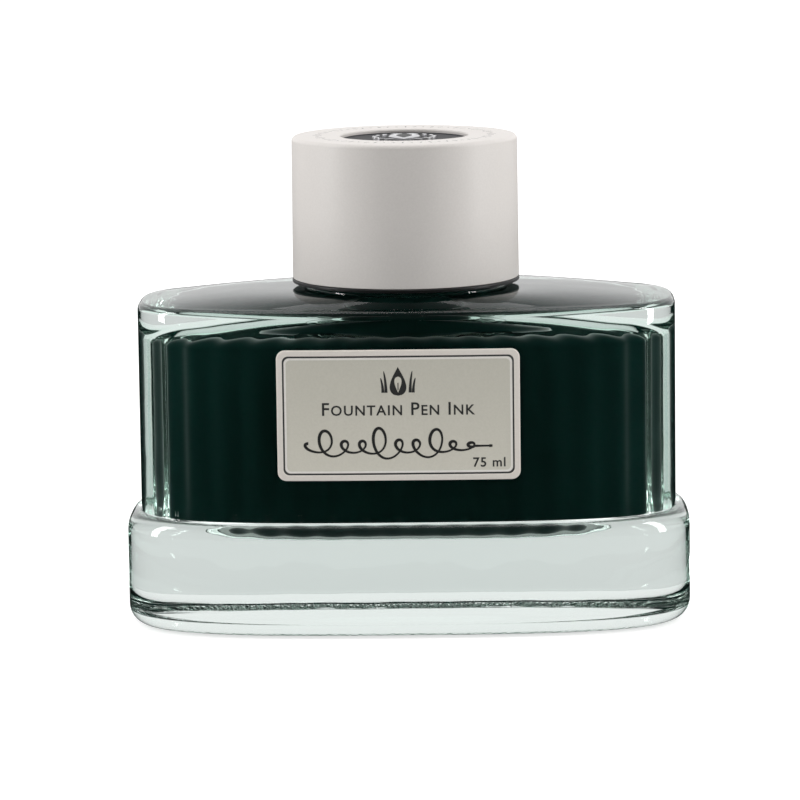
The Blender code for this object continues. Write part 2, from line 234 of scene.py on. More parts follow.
def shoulder_rings(steps=16):
    rim = block_ring(LEDGE + RIM_FILLET, 0.0)[:, :2]
    collar = circle(COLLAR_RADIUS, 0.0)[:, :2]
    rings = []
    for i in range(1, steps + 1):
        share = i / steps
        rise = SHOULDER_RISE * math.sin(0.5 * math.pi * share)
        rings.append(at_height(rim + (collar - rim) * share, RIM_HEIGHT + rise))
    return rings


def neck_rings():
    """The collar, the plain land above it, the threaded neck and its rounded mouth."""
    angle = 2.0 * math.pi * np.arange(AROUND) / AROUND
    rings = [circle(COLLAR_RADIUS, COLLAR_TOP - 0.3)]
    for sine, cosine in quarter(4):
        rings.append(circle(COLLAR_RADIUS - 0.3 * (1.0 - cosine), COLLAR_TOP - 0.3 * (1.0 - sine)))
    rings.append(circle(NECK_RADIUS + 0.5, COLLAR_TOP))
    for sine, cosine in quarter(4):
        rings.append(circle(NECK_RADIUS + 0.5 * (1.0 - sine), COLLAR_TOP + 0.5 * (1.0 - cosine)))
    for height in np.arange(THREADED_FROM, THREADED_TO, THREAD_ROW):
        radius = NECK_RADIUS + NECK_THREAD_HEIGHT * thread_share(angle, height, NECK_THREAD_FOOT)
        plan = np.column_stack((radius * np.cos(angle), radius * np.sin(angle)))
        rings.append(at_height(plan, height))
    lip = 0.8
    rings.append(circle(NECK_RADIUS, NECK_TOP - lip))
    for sine, cosine in quarter(6):
        rings.append(circle(NECK_RADIUS - lip * (1.0 - cosine), NECK_TOP - lip * (1.0 - sine)))
    for sine, cosine in [(0.0, 1.0), *quarter(6)]:
        rings.append(circle(BORE_RADIUS + lip * (1.0 - sine), NECK_TOP - lip * (1.0 - cosine)))
    return rings


def cavity_rings(inset=0.0):
    """The cavity from the middle of its floor, up the ribbed wall and over the arched ceiling."""
    rings = []
    for share in (0.08, 0.3, 0.5, 0.7, 0.85, 1.0):
        plan = ribbed_ring(FLOOR_FILLET + inset, 0.0, 0.15)[:, :2] * share
        rings.append(at_height(plan, CAVITY_FLOOR + inset - FLOOR_SAG * (1.0 - share ** 2)))
    for sine, cosine in quarter(8):
        height = CAVITY_FLOOR + inset + FLOOR_FILLET * (1.0 - cosine)
        rings.append(ribbed_ring(inset + FLOOR_FILLET * (1.0 - sine), height, 0.15 + 0.35 * sine))
    for height in np.linspace(CAVITY_FLOOR + FLOOR_FILLET + 4.0, ARCH_SPRING, 6):
        rings.append(ribbed_ring(inset, height))
    half_depth = CAVITY_HALF_DEPTH - inset
    rise = ARCH_RISE - inset
    last = math.acos((BORE_RADIUS - inset) / half_depth)
    for angle in np.linspace(0.0, last, 13)[1:]:
        reach = half_depth * (1.0 - math.cos(angle))
        fade = max(0.0, 1.0 - angle / last)
        rings.append(ribbed_ring(inset + reach, ARCH_SPRING + rise * math.sin(angle), fade))
    arch = rings[-1]
    top = arch[0][2] + CEILING_RISE
    bore = circle(BORE_RADIUS - inset, top)[:, :2]
    for share in np.linspace(0.0, 1.0, 9)[1:]:
        plan = arch[:, :2] + (bore - arch[:, :2]) * share
        rings.append(at_height(plan, arch[0][2] + CEILING_RISE * math.sin(0.5 * math.pi * share)))
    return rings


def linear(hex_colour):
    """An sRGB hex colour as the linear values that a shader takes."""
    channels = [int(hex_colour[i:i + 2], 16) / 255.0 for i in (1, 3, 5)]
    return [c / 12.92 if c <= 0.04045 else ((c + 0.055) / 1.055) ** 2.4 for c in channels] + [1.0]


def add_node(tree, kind, inputs=None, **settings):
    """Add a node: settings go on the node, and inputs are values or sockets to link."""
    made = tree.nodes.new(kind)
    for name, value in settings.items():
        setattr(made, name, value)
    for socket, value in (inputs or {}).items():
        if isinstance(value, bpy.types.NodeSocket):
            tree.links.new(value, made.inputs[socket])
        else:
            made.inputs[socket].default_value = value
    return made


def blank_material(name):
    material = bpy.data.materials.new(name)
    material.use_nodes = True
    material.node_tree.nodes.clear()
    return material, material.node_tree


GLASS_IOR = 1.52
GLASS_GREEN = "#D3EBE2"
GLASS_DENSITY = 9.0
GLASS_RIPPLE_MM = 9.0
STIPPLE_PITCH_MM = 0.6
STIPPLE_ROWS = (5, 17)


def pressed_glass():
    """Pressed soda lime glass, fire-polished by the mould's heat: clear with a faint green body
    colour that deepens with thickness, and a slow ripple that bends what is seen through it."""
    material, tree = blank_material("pressed soda lime glass")
    place = add_node(tree, "ShaderNodeTexCoord").outputs["Object"]
    ripple = add_node(tree, "ShaderNodeTexNoise",
                      {"Vector": place, "Scale": 1.0 / (GLASS_RIPPLE_MM * MM), "Detail": 1.0})
    bump = add_node(tree, "ShaderNodeBump",
                    {"Height": ripple.outputs["Fac"], "Strength": 0.35, "Distance": 0.0002})
    shader = add_node(tree, "ShaderNodeBsdfPrincipled",
                      {"Base Color": linear("#FFFFFF"), "Roughness": 0.0, "IOR": GLASS_IOR,
                       "Transmission Weight": 1.0, "Normal": bump.outputs["Normal"]})
    body = add_node(tree, "ShaderNodeVolumeAbsorption",
                    {"Color": linear(GLASS_GREEN), "Density": GLASS_DENSITY})
    add_node(tree, "ShaderNodeOutputMaterial",
             {"Surface": shader.outputs["BSDF"], "Volume": body.outputs["Volume"]})
    return material


def stippled_glass():
    """The same glass where the mould was peened, so that the bottle stands on fine dimples."""
    material, tree = blank_material("stippled glass foot")
    place = add_node(tree, "ShaderNodeTexCoord").outputs["Object"]
    cells = add_node(tree, "ShaderNodeTexVoronoi",
                     {"Vector": place, "Scale": 1.0 / (STIPPLE_PITCH_MM * MM)})
    bump = add_node(tree, "ShaderNodeBump",
                    {"Height": cells.outputs["Distance"], "Strength": 1.0, "Distance": 0.00018})
    shader = add_node(tree, "ShaderNodeBsdfPrincipled",
                      {"Base Color": linear("#F4F8F6"), "Roughness": 0.1, "IOR": GLASS_IOR,
                       "Transmission Weight": 1.0, "Normal": bump.outputs["Normal"]})
    body = add_node(tree, "ShaderNodeVolumeAbsorption",
                    {"Color": linear(GLASS_GREEN), "Density": GLASS_DENSITY})
    add_node(tree, "ShaderNodeOutputMaterial",
             {"Surface": shader.outputs["BSDF"], "Volume": body.outputs["Volume"]})
    return material


outside = underside_rings() + wall_rings() + shoulder_rings() + neck_rings()
inside = cavity_rings()
glass_mesh = skin("glass_shell", outside + list(reversed(inside)))
glass_shell = new_piece("glass_shell", glass_mesh, "bottle", [pressed_glass(), stippled_glass()])
for face in glass_mesh.polygons:
    face.material_index = int(STIPPLE_ROWS[0] <= face.index // AROUND < STIPPLE_ROWS[1])
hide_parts("glass_bottle")


# The ink ---------------------------------------------------------------------------------------
# A dark green water-based ink that wets the glass all over. It fills the cavity and stands in
# the neck, where it climbs the wall a little. Light gets in a fraction of a millimetre only.

INK_LEVEL = 57.0
INK_OVERLAP = 0.03
MENISCUS = 0.6


def writing_ink(name, ior):
    """Fountain pen ink: near black with a green cast. Where it wets the glass it mirrors only
    what strikes it at a low angle, as the change from glass to water does."""
    material, tree = blank_material(name)
    edge = add_node(tree, "ShaderNodeFresnel", {"IOR": ior})
    place = add_node(tree, "ShaderNodeTexCoord").outputs["Object"]
    cloud = add_node(tree, "ShaderNodeTexNoise", {"Vector": place, "Scale": 60.0, "Detail": 2.0})
    body = add_node(tree, "ShaderNodeMix",
                    {"Factor": cloud.outputs["Fac"], "A": linear("#06231F"), "B": linear("#0B302B")},
                    data_type="RGBA")
    colour = add_node(tree, "ShaderNodeMix",
                      {"Factor": edge.outputs["Fac"], "A": body.outputs["Result"],
                       "B": linear("#E6F5EF")}, data_type="RGBA")
    shader = add_node(tree, "ShaderNodeBsdfPrincipled",
                      {"Base Color": colour.outputs["Result"], "Metallic": edge.outputs["Fac"],
                       "Roughness": 0.03, "IOR": 1.0})
    add_node(tree, "ShaderNodeOutputMaterial", {"Surface": shader.outputs["BSDF"]})
    return material


ink_rings = cavity_rings(-INK_OVERLAP)
ink_rings.append(circle(BORE_RADIUS + INK_OVERLAP, INK_LEVEL + MENISCUS))
for sine, cosine in quarter(5):
    ink_rings.append(circle(BORE_RADIUS - 0.02 - 1.6 * MENISCUS * (1.0 - cosine),
                            INK_LEVEL + MENISCUS * (1.0 - sine)))
ink_mesh = skin("ink_body", ink_rings)
ink_body = new_piece("ink_body", ink_mesh, "bottle",
                     [writing_ink("writing ink against glass", 1.34 / GLASS_IOR),
                      writing_ink("open ink surface", 1.34)])
for face in ink_mesh.polygons:
    face.material_index = int(face.center.z > INK_LEVEL * MM - 0.00001)
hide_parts("ink_fill")


# The label -------------------------------------------------------------------------------------
# A die-cut card with a raised rim, glued to the front so that it bends with the wall. Its frame
# line is pressed and printed into the card. The raised rim and a raised line inside the frame are
# painted lighter than the field, as painted highlights on their bevels.

card_low, card_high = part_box("front_label")
CARD_X = 0.5 * (card_low.x + card_high.x) / MM
CARD_Z = 0.5 * (card_low.z + card_high.z) / MM
CARD_HALF_WIDTH = 0.5 * (card_high.x - card_low.x) / MM
CARD_HALF_HEIGHT = 0.5 * (card_high.z - card_low.z) / MM
CARD_CORNER = 1.4
CARD_FACE = 0.5
CARD_LOOPS = ((0.0, 0.0), (0.0, 0.48), (0.09, 0.57), (0.84, 0.57), (0.93, 0.5), (0.97, 0.47),
              (1.22, 0.47), (1.28, 0.52), (1.5, 0.52), (1.56, 0.5))
# Materials per ring: 0 is the rim with a painted highlight, 1 the frame ink, 2 the inner line with a
# painted highlight.
CARD_LOOP_MATERIALS = (0, 0, 0, 0, 1, 1, 2, 2, 2)


def on_label(across, up, proud):
    """A place on the label, from its middle, that stands proud of the bottle's front wall."""
    x = CARD_X + across
    bend = (1.0 - abs(x / (BASE_HALF_WIDTH - LEDGE)) ** PLAN_EXPONENT) ** (1.0 / PLAN_EXPONENT)
    return Vector((x, -(BASE_HALF_DEPTH - LEDGE) * bend - proud, CARD_Z + up)) * MM


def card_loop(inset, proud):
    """A rounded rectangle on the label whose upper and lower points stand in columns."""
    corner = CARD_CORNER - 0.45 * inset
    half_width = CARD_HALF_WIDTH - inset
    half_height = CARD_HALF_HEIGHT - inset
    columns = []
    for sine, cosine in [(0.0, 1.0), *quarter(6)]:
        columns.append((corner * (1.0 - cosine) - half_width, half_height - corner * (1.0 - sine)))
    middle = np.linspace(corner - half_width, half_width - corner, 41)[1:-1]
    columns += [(float(x), half_height) for x in middle]
    columns += [(-x, half) for x, half in reversed(columns[:7])]
    outline = [(x, -half) for x, half in columns] + [(x, half) for x, half in reversed(columns)]
    return [on_label(x, up, proud) for x, up in outline]


def printed_card(name, colour, fleck):
    """Uncoated card: matt and warm grey, mottled by its fibres, which also lift its surface."""
    material, tree = blank_material(name)
    place = add_node(tree, "ShaderNodeTexCoord").outputs["Object"]
    fibre = add_node(tree, "ShaderNodeTexNoise",
                     {"Vector": place, "Scale": 1.0 / (0.35 * MM), "Detail": 5.0, "Roughness": 0.7})
    mottle = add_node(tree, "ShaderNodeMix",
                      {"Factor": fibre.outputs["Fac"], "A": linear(fleck), "B": linear(colour)},
                      data_type="RGBA")
    bump = add_node(tree, "ShaderNodeBump",
                    {"Height": fibre.outputs["Fac"], "Strength": 0.5, "Distance": 0.00003})
    shader = add_node(tree, "ShaderNodeBsdfPrincipled",
                      {"Base Color": mottle.outputs["Result"], "Roughness": 0.72, "IOR": 1.45,
                       "Normal": bump.outputs["Normal"]})
    add_node(tree, "ShaderNodeOutputMaterial", {"Surface": shader.outputs["BSDF"]})
    return material


def printing_ink(name, colour):
    """Offset printing ink on card: dark and a little uneven, with a low sheen."""
    material, tree = blank_material(name)
    place = add_node(tree, "ShaderNodeTexCoord").outputs["Object"]
    speck = add_node(tree, "ShaderNodeTexNoise",
                     {"Vector": place, "Scale": 1.0 / (0.12 * MM), "Detail": 3.0})
    tone = add_node(tree, "ShaderNodeMix",
                    {"Factor": speck.outputs["Fac"], "A": linear(colour), "B": linear("#363636")},
                    data_type="RGBA")
    shader = add_node(tree, "ShaderNodeBsdfPrincipled",
                      {"Base Color": tone.outputs["Result"], "Roughness": 0.55})
    add_node(tree, "ShaderNodeOutputMaterial", {"Surface": shader.outputs["BSDF"]})
    return material


card_shape = bmesh.new()
card_rows = [[card_shape.verts.new(point) for point in card_loop(*loop)] for loop in CARD_LOOPS]
points_round = len(card_rows[0])
for outer, inner, kind in zip(card_rows, card_rows[1:], CARD_LOOP_MATERIALS):
    for i in range(points_round):
        j = (i + 1) % points_round
        card_shape.faces.new((outer[i], outer[j], inner[j], inner[i])).material_index = kind
for i in range(points_round // 2 - 1):
    low, high = i, points_round - 1 - i
    front, back = card_rows[-1], card_rows[0]
    face = card_shape.faces.new((front[low], front[low + 1], front[high - 1], front[high]))
    face.material_index = 3
    card_shape.faces.new((back[high], back[high - 1], back[low + 1], back[low]))
card_mesh = bpy.data.meshes.new("label_card")
card_shape.to_mesh(card_mesh)
card_shape.free()
# The rim and inner line materials are the card painted lighter: painted highlights on the embossed
# bevels.
label_card = new_piece("label_card", card_mesh, "bottle",
                       [printed_card("card label rim with painted highlight", "#F0E9E1", "#DDD6CE"),
                        printing_ink("label frame ink", "#4B4B49"),
                        printed_card("card label inner line with painted highlight", "#F4F0EB", "#E6E1DA"),
                        printed_card("uncoated card label", "#DCD8CC", "#CBC7BA")])
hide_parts("front_label")


# The printing on the label ---------------------------------------------------------------------
# Dark offset ink in a film on the card: a drop-shaped emblem with a nib, a title, the contents
# and a looped pen flourish. It is drawn as thin solids that follow the card.

FILM = 0.012
FLOURISH_HALF_LENGTH = 14.6
FLOURISH_LOOPS = 10.0
FLOURISH_MIDDLE = -4.6


def stroke(shape, path, place, foot, film=FILM):
    """Add a closed flat ribbon along a path of (across, up, width, rise) points to a bmesh."""
    path = np.array(path, dtype=float)
    along = np.gradient(path[:, :2], axis=0)
    along /= np.maximum(np.linalg.norm(along, axis=1, keepdims=True), 1e-9)
    side = np.column_stack((-along[:, 1], along[:, 0])) * 0.5 * path[:, 2:3]
    rows = []
    for middle, out in zip(path, side):
        left, right = middle[:2] + out, middle[:2] - out
        top = foot + film + middle[3]
        rows.append([shape.verts.new(place(*corner)) for corner in
                     ((*left, foot), (*right, foot), (*right, top), (*left, top))])
    for here, there in zip(rows, rows[1:]):
        for i in range(4):
            j = (i + 1) % 4
            shape.faces.new((here[i], here[j], there[j], there[i]))
    shape.faces.new(list(reversed(rows[0])))
    shape.faces.new(rows[-1])


def from_strokes(name, paths, place, foot, film=FILM):
    shape = bmesh.new()
    for path in paths:
        stroke(shape, path, place, foot, film)
    bmesh.ops.recalc_face_normals(shape, faces=shape.faces)
    mesh = bpy.data.meshes.new(name)
    shape.to_mesh(mesh)
    shape.free()
    return mesh


def lettering(name, words, size, across, up, small_capitals=True):
    """Words as thin solids that follow the label, in small capitals if asked."""
    text = bpy.data.curves.new(name, "FONT")
    text.body = words
    text.size = size
    text.small_caps_scale = 0.78
    text.space_character = 1.12
    text.align_x = "CENTER"
    text.extrude = 0.5 * FILM
    text.offset = 0.035
    text.resolution_u = 3
    for character in text.body_format:
        character.use_small_caps = small_capitals
    typeset = bpy.data.objects.new(name, text)
    shape = bmesh.new()
    shape.from_mesh(typeset.to_mesh())
    typeset.to_mesh_clear()
    bpy.data.objects.remove(typeset)
    for corner in shape.verts:
        proud = CARD_FACE + corner.co.z + 0.5 * FILM
        corner.co = on_label(across + corner.co.x, up + corner.co.y, proud)
    bmesh.ops.remove_doubles(shape, verts=shape.verts, dist=0.000001)
    mesh = bpy.data.meshes.new(name)
    shape.to_mesh(mesh)
    shape.free()
    return mesh


def drop_half_width(share):
    """Half the width of a drop as a share of its largest, from its point (0) to its foot (1)."""
    turn = math.acos(1.0 - 2.0 * share)
    return math.sin(turn) * math.sin(0.5 * turn) ** 1.4 / 0.78


def filled_drop(half_width, top, foot, rise=0.0):
    return [(0.0, top + (foot - top) * share, 2.0 * half_width * drop_half_width(share) + 0.02, rise)
            for share in np.linspace(0.0, 1.0, 40)]


def flourish_path(steps=620):
    """A run of pen loops between two swashes, with three tall loops."""
    path = []
    for i in range(steps + 1):
        share = i / steps
        turn = 2.0 * math.pi * FLOURISH_LOOPS * share
        tall = sum(math.exp(-((share - at) / 0.045) ** 2) for at in (0.115, 0.42, 0.68))
        ends = math.sin(math.pi * min(1.0, 0.06 + share)) ** 0.3
        across = FLOURISH_HALF_LENGTH * (2.0 * share - 1.0) - (1.15 + 0.7 * tall) * math.sin(turn)
        up = FLOURISH_MIDDLE + (1.0 + 1.9 * tall) * ends * math.cos(turn) + 0.5 * tall - 0.5
        width = 0.4 + 0.1 * math.sin(turn + 0.7)
        path.append((across, up, width, 0.008 * share))
    return path


emblem_paths = [filled_drop(1.45, 7.9, 3.2)]
for side in (-1.0, 1.0):
    for lean, top, width in ((1.95, 7.2, 0.42), (2.45, 6.1, 0.4)):
        emblem_paths.append([(side * (lean + 0.35 * t * t), 3.7 + (top - 3.7) * t,
                              width * (1.0 - t) ** 0.5 + 0.08, 0.0) for t in np.linspace(0.0, 1.0, 13)])
nib_paths = [filled_drop(0.62, 3.7, 6.3, FILM)]
slit_paths = [[(0.0, up, 0.16, 0.02) for up in np.linspace(4.1, 5.3, 4)]]
dark_print = printing_ink("dark offset print", "#2C2D2C")
black_print = printing_ink("black offset print", "#0E0F0F")
print_pieces = [
    new_piece("print_emblem", from_strokes("print_emblem", emblem_paths, on_label, CARD_FACE),
              "bottle", [dark_print]),
    new_piece("print_nib", from_strokes("print_nib", nib_paths, on_label, CARD_FACE), "bottle",
              [printed_card("unprinted card in the emblem", "#DCD8CC", "#CBC7BA")]),
    new_piece("print_nib_slit", from_strokes("print_nib_slit", slit_paths, on_label, CARD_FACE),
              "bottle", [dark_print]),
    new_piece("print_title", lettering("print_title", "Fountain Pen Ink", 2.95, -0.1, 0.05),
              "bottle", [dark_print]),
    new_piece("print_contents", lettering("print_contents", "75 ml", 2.15, 14.6, -8.5, False),
              "bottle", [dark_print]),
    new_piece("print_flourish",
              from_strokes("print_flourish", [flourish_path()], on_label, CARD_FACE),
              "bottle", [black_print]),
]


# The sealing liner -----------------------------------------------------------------------------
# A punched disc of closed-cell foam in the roof of the inner cap. It has taken the print of the
# bottle's mouth, and it lifts with the cap without turning.

liner_low, liner_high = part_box("sealing_liner")
LINER_RADIUS = liner_high.x / MM
LINER_FOOT = liner_low.z / MM
LINER_TOP = liner_high.z / MM
LINER_PRINT_DEPTH = 0.08


def turned(profile, count=192):
    """Rings through a profile of (radius, height) points, from under the middle to its top."""
    return [circle(radius, height, count) for radius, height in profile]


def closed_cell_foam():
    """Polyethylene foam liner: off-white and matt, with a fine cell pattern."""
    material, tree = blank_material("closed-cell foam")
    place = add_node(tree, "ShaderNodeTexCoord").outputs["Object"]
    cells = add_node(tree, "ShaderNodeTexVoronoi", {"Vector": place, "Scale": 1.0 / (0.25 * MM)})
    tone = add_node(tree, "ShaderNodeMix",
                    {"Factor": cells.outputs["Distance"], "A": linear("#D9D6CC"),
                     "B": linear("#EDEBE4")}, data_type="RGBA")
    bump = add_node(tree, "ShaderNodeBump",
                    {"Height": cells.outputs["Distance"], "Strength": 0.4, "Distance": 0.00005})
    shader = add_node(tree, "ShaderNodeBsdfPrincipled",
                      {"Base Color": tone.outputs["Result"], "Roughness": 0.85,
                       "Normal": bump.outputs["Normal"]})
    add_node(tree, "ShaderNodeOutputMaterial", {"Surface": shader.outputs["BSDF"]})
    return material


pressed = LINER_FOOT + LINER_PRINT_DEPTH
liner_profile = [
    (0.4, LINER_FOOT), (BORE_RADIUS - 0.2, LINER_FOOT), (BORE_RADIUS, pressed),
    (NECK_RADIUS, pressed), (NECK_RADIUS + 0.2, LINER_FOOT), (LINER_RADIUS - 0.15, LINER_FOOT),
    (LINER_RADIUS, LINER_FOOT + 0.15), (LINER_RADIUS, LINER_TOP - 0.1),
    (LINER_RADIUS - 0.1, LINER_TOP), (0.4, LINER_TOP),
]
foam_liner = new_piece("foam_liner", skin("foam_liner", turned(liner_profile)), "seal",
                       [closed_cell_foam()])
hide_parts("sealing_liner")


# The inner cap ---------------------------------------------------------------------------------
# The part of the closure that grips the neck, moulded in black polypropylene with a two-start
# thread. A ring on its roof carries the cover, and its flange shows as a dark line below it.

insert_low, insert_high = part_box("threaded_insert")
FLANGE_RADIUS = insert_high.x / MM
FLANGE_FOOT = insert_low.z / MM
FLANGE_TOP = FLANGE_FOOT + 0.6
RING_TOP = insert_high.z / MM
INSERT_BORE = 16.5
INSERT_RADIUS = 17.3
INSERT_TOP = 74.8
CAP_THREAD_FOOT = 60.2
CAP_THREAD_PHASE = 0.25 * math.pi
CAP_THREAD_HEIGHT = 1.3


def moulded_plastic():
    """Black moulded polypropylene: a fine even spark-eroded grain under a soft sheen."""
    material, tree = blank_material("black moulded polypropylene")
    place = add_node(tree, "ShaderNodeTexCoord").outputs["Object"]
    grain = add_node(tree, "ShaderNodeTexNoise",
                     {"Vector": place, "Scale": 1.0 / (0.2 * MM), "Detail": 3.0})
    tone = add_node(tree, "ShaderNodeMix",
                    {"Factor": grain.outputs["Fac"], "A": linear("#0B0B0C"), "B": linear("#161617")},
                    data_type="RGBA")
    bump = add_node(tree, "ShaderNodeBump",
                    {"Height": grain.outputs["Fac"], "Strength": 0.3, "Distance": 0.00003})
    shader = add_node(tree, "ShaderNodeBsdfPrincipled",
                      {"Base Color": tone.outputs["Result"], "Roughness": 0.42, "IOR": 1.49,
                       "Normal": bump.outputs["Normal"]})
    add_node(tree, "ShaderNodeOutputMaterial", {"Surface": shader.outputs["BSDF"]})
    return material


cap_angle = 2.0 * math.pi * np.arange(AROUND) / AROUND
cap_rings = [circle(radius, height) for radius, height in
             ((0.4, LINER_TOP + 0.05), (INSERT_BORE - 0.4, LINER_TOP + 0.05),
              (INSERT_BORE, LINER_TOP - 0.35))]
for height in np.arange(68.6, 58.7, -0.2):
    share = thread_share(cap_angle, height, CAP_THREAD_FOOT, CAP_THREAD_PHASE)
    radius = INSERT_BORE - CAP_THREAD_HEIGHT * share
    cap_rings.append(at_height(np.column_stack((radius * np.cos(cap_angle),
                                                radius * np.sin(cap_angle))), height))
cap_rings += [circle(radius, height) for radius, height in
              ((INSERT_BORE, FLANGE_FOOT + 0.3), (INSERT_BORE + 0.3, FLANGE_FOOT),
               (FLANGE_RADIUS - 0.2, FLANGE_FOOT), (FLANGE_RADIUS - 0.05, FLANGE_FOOT + 0.06),
               (FLANGE_RADIUS, FLANGE_FOOT + 0.2), (FLANGE_RADIUS, FLANGE_TOP - 0.12),
               (FLANGE_RADIUS - 0.12, FLANGE_TOP), (INSERT_RADIUS, FLANGE_TOP),
               (INSERT_RADIUS, INSERT_TOP - 0.5), (INSERT_RADIUS - 0.15, INSERT_TOP - 0.15),
               (INSERT_RADIUS - 0.5, INSERT_TOP), (13.5, INSERT_TOP), (13.5, RING_TOP - 0.1),
               (13.4, RING_TOP), (12.1, RING_TOP), (12.0, RING_TOP - 0.1), (12.0, INSERT_TOP),
               (0.4, INSERT_TOP))]
inner_cap = new_piece("inner_cap", skin("inner_cap", cap_rings), "cap", [moulded_plastic()])
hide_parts("threaded_insert")


# The cap cover ---------------------------------------------------------------------------------
# A deep-drawn metal shell with a satin pearl-grey lacquer, pressed over the inner cap. Its top
# has a pocket for the badge and a fine ring of engraved marks round that, drawn as flat grey
# strips on the top whose grey is painted shade standing in for the shade inside the engraving.

_, cover_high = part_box("cap_cover")
COVER_TOP = cover_high.z / MM - 0.01
COVER_FOOT = FLANGE_TOP + 0.05
COVER_RADIUS = cover_high.x / MM
COVER_DRAFT = 0.13
COVER_EDGE = 0.7
COVER_BORE = 17.6
COVER_ROOF = 77.9
POCKET_RADIUS = 10.5
POCKET_FLOOR = 78.7
MARK_RING_RADIUS = 14.3
MARK_COUNT = 60


def satin_lacquer():
    """Sprayed satin lacquer: warm pearl grey, with a faint orange-peel and a fine mica grain."""
    material, tree = blank_material("satin pearl-grey lacquer")
    place = add_node(tree, "ShaderNodeTexCoord").outputs["Object"]
    mica = add_node(tree, "ShaderNodeTexNoise",
                    {"Vector": place, "Scale": 1.0 / (0.3 * MM), "Detail": 4.0})
    peel = add_node(tree, "ShaderNodeTexNoise", {"Vector": place, "Scale": 1.0 / (1.6 * MM)})
    tone = add_node(tree, "ShaderNodeMix",
                    {"Factor": mica.outputs["Fac"], "A": linear("#CDC8C4"), "B": linear("#D8D3CF")},
                    data_type="RGBA")
    bump = add_node(tree, "ShaderNodeBump",
                    {"Height": peel.outputs["Fac"], "Strength": 0.12, "Distance": 0.00008})
    shader = add_node(tree, "ShaderNodeBsdfPrincipled",
                      {"Base Color": tone.outputs["Result"], "Roughness": 0.42,
                       "Specular IOR Level": 0.35, "Normal": bump.outputs["Normal"]})
    add_node(tree, "ShaderNodeOutputMaterial", {"Surface": shader.outputs["BSDF"]})
    return material


cover_profile = [
    (0.4, COVER_ROOF), (COVER_BORE - 0.6, COVER_ROOF), (COVER_BORE - 0.18, COVER_ROOF - 0.18),
    (COVER_BORE, COVER_ROOF - 0.6), (COVER_BORE, COVER_FOOT + 0.3), (COVER_BORE + 0.15, COVER_FOOT),
    (COVER_RADIUS - 0.2, COVER_FOOT), (COVER_RADIUS - 0.06, COVER_FOOT + 0.06),
    (COVER_RADIUS, COVER_FOOT + 0.2), (COVER_RADIUS - 0.5 * COVER_DRAFT, 68.0),
    (COVER_RADIUS - COVER_DRAFT, COVER_TOP - COVER_EDGE),
]
for sine, cosine in quarter(8):
    cover_profile.append((COVER_RADIUS - COVER_DRAFT - COVER_EDGE * (1.0 - cosine),
                          COVER_TOP - COVER_EDGE * (1.0 - sine)))
cover_profile += [(POCKET_RADIUS + 0.45, COVER_TOP), (POCKET_RADIUS + 0.15, COVER_TOP - 0.06),
                  (POCKET_RADIUS, COVER_TOP - 0.25), (POCKET_RADIUS, POCKET_FLOOR),
                  (0.4, POCKET_FLOOR)]
cap_shell = new_piece("cap_shell", skin("cap_shell", turned(cover_profile)), "cap",
                      [satin_lacquer()])
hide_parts("cap_cover")


def on_cap_top(x, y, z):
    return Vector((x, y, z)) * MM


# The ring marks are flat strips on the cap top; their grey is painted shade that stands in for the
# shade inside engraved grooves.
mark_paths = []
for i in range(MARK_COUNT):
    turn = 2.0 * math.pi * i / MARK_COUNT
    half_length = (0.75, 0.25, 0.5)[i % 3]
    lean = (0.0, 0.035, -0.03)[i % 3]
    mark_paths.append([((MARK_RING_RADIUS + reach) * math.cos(turn + lean * reach),
                        (MARK_RING_RADIUS + reach) * math.sin(turn + lean * reach), 0.22, 0.0)
                       for reach in np.linspace(-half_length, half_length, 5)])
cap_marks = new_piece("cap_ring_marks",
                      from_strokes("cap_ring_marks", mark_paths, on_cap_top, COVER_TOP - 0.01, 0.015),
                      "cap", [printing_ink("painted shade of engraved marks", "#8E8E8C")])


# The badge -------------------------------------------------------------------------------------
# A round plate of dark enamel, brushed from its middle before it was coated, glued into the
# pocket of the cover. A narrow rim stands up round it.

_, badge_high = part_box("badge_disc")
BADGE_TOP = badge_high.z / MM
BADGE_RADIUS = badge_high.x / MM
BADGE_RAY_COUNT = 160.0


def dark_enamel():
    """Translucent dark enamel over brushed metal: near black, with fine rays from the middle."""
    material, tree = blank_material("dark enamel over brushed metal")
    place = add_node(tree, "ShaderNodeTexCoord").outputs["Object"]
    angle = add_node(tree, "ShaderNodeTexGradient", {"Vector": place}, gradient_type="RADIAL")
    spread = add_node(tree, "ShaderNodeMath", {0: angle.outputs["Fac"], 1: BADGE_RAY_COUNT},
                      operation="MULTIPLY")
    line = add_node(tree, "ShaderNodeCombineXYZ", {"X": spread.outputs[0]})
    rays = add_node(tree, "ShaderNodeTexNoise",
                    {"Vector": line.outputs[0], "Scale": 1.0, "Detail": 3.0, "Roughness": 0.7})
    tone = add_node(tree, "ShaderNodeMix",
                    {"Factor": rays.outputs["Fac"], "A": linear("#0C0C0E"), "B": linear("#3A3A3E")},
                    data_type="RGBA")
    shader = add_node(tree, "ShaderNodeBsdfPrincipled",
                      {"Base Color": tone.outputs["Result"], "Roughness": 0.5,
                       "Specular IOR Level": 0.12})
    add_node(tree, "ShaderNodeOutputMaterial", {"Surface": shader.outputs["BSDF"]})
    return material


badge_profile = [
    (0.4, POCKET_FLOOR + 0.02), (BADGE_RADIUS, POCKET_FLOOR + 0.02), (BADGE_RADIUS, BADGE_TOP - 0.08),
    (BADGE_RADIUS - 0.08, BADGE_TOP), (BADGE_RADIUS - 0.4, BADGE_TOP),
    (BADGE_RADIUS - 0.48, BADGE_TOP - 0.1), (0.4, BADGE_TOP - 0.1),
]
badge_plate = new_piece("badge_plate", skin("badge_plate", turned(badge_profile)), "cap",
                        [dark_enamel()])
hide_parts("badge_disc")


# The emblem ------------------------------------------------------------------------------------
# A small coined ornament of silvered metal on the badge: a pen nib between two sprigs of
# leaves. It was struck in one blow, so its faces slope to soft edges.

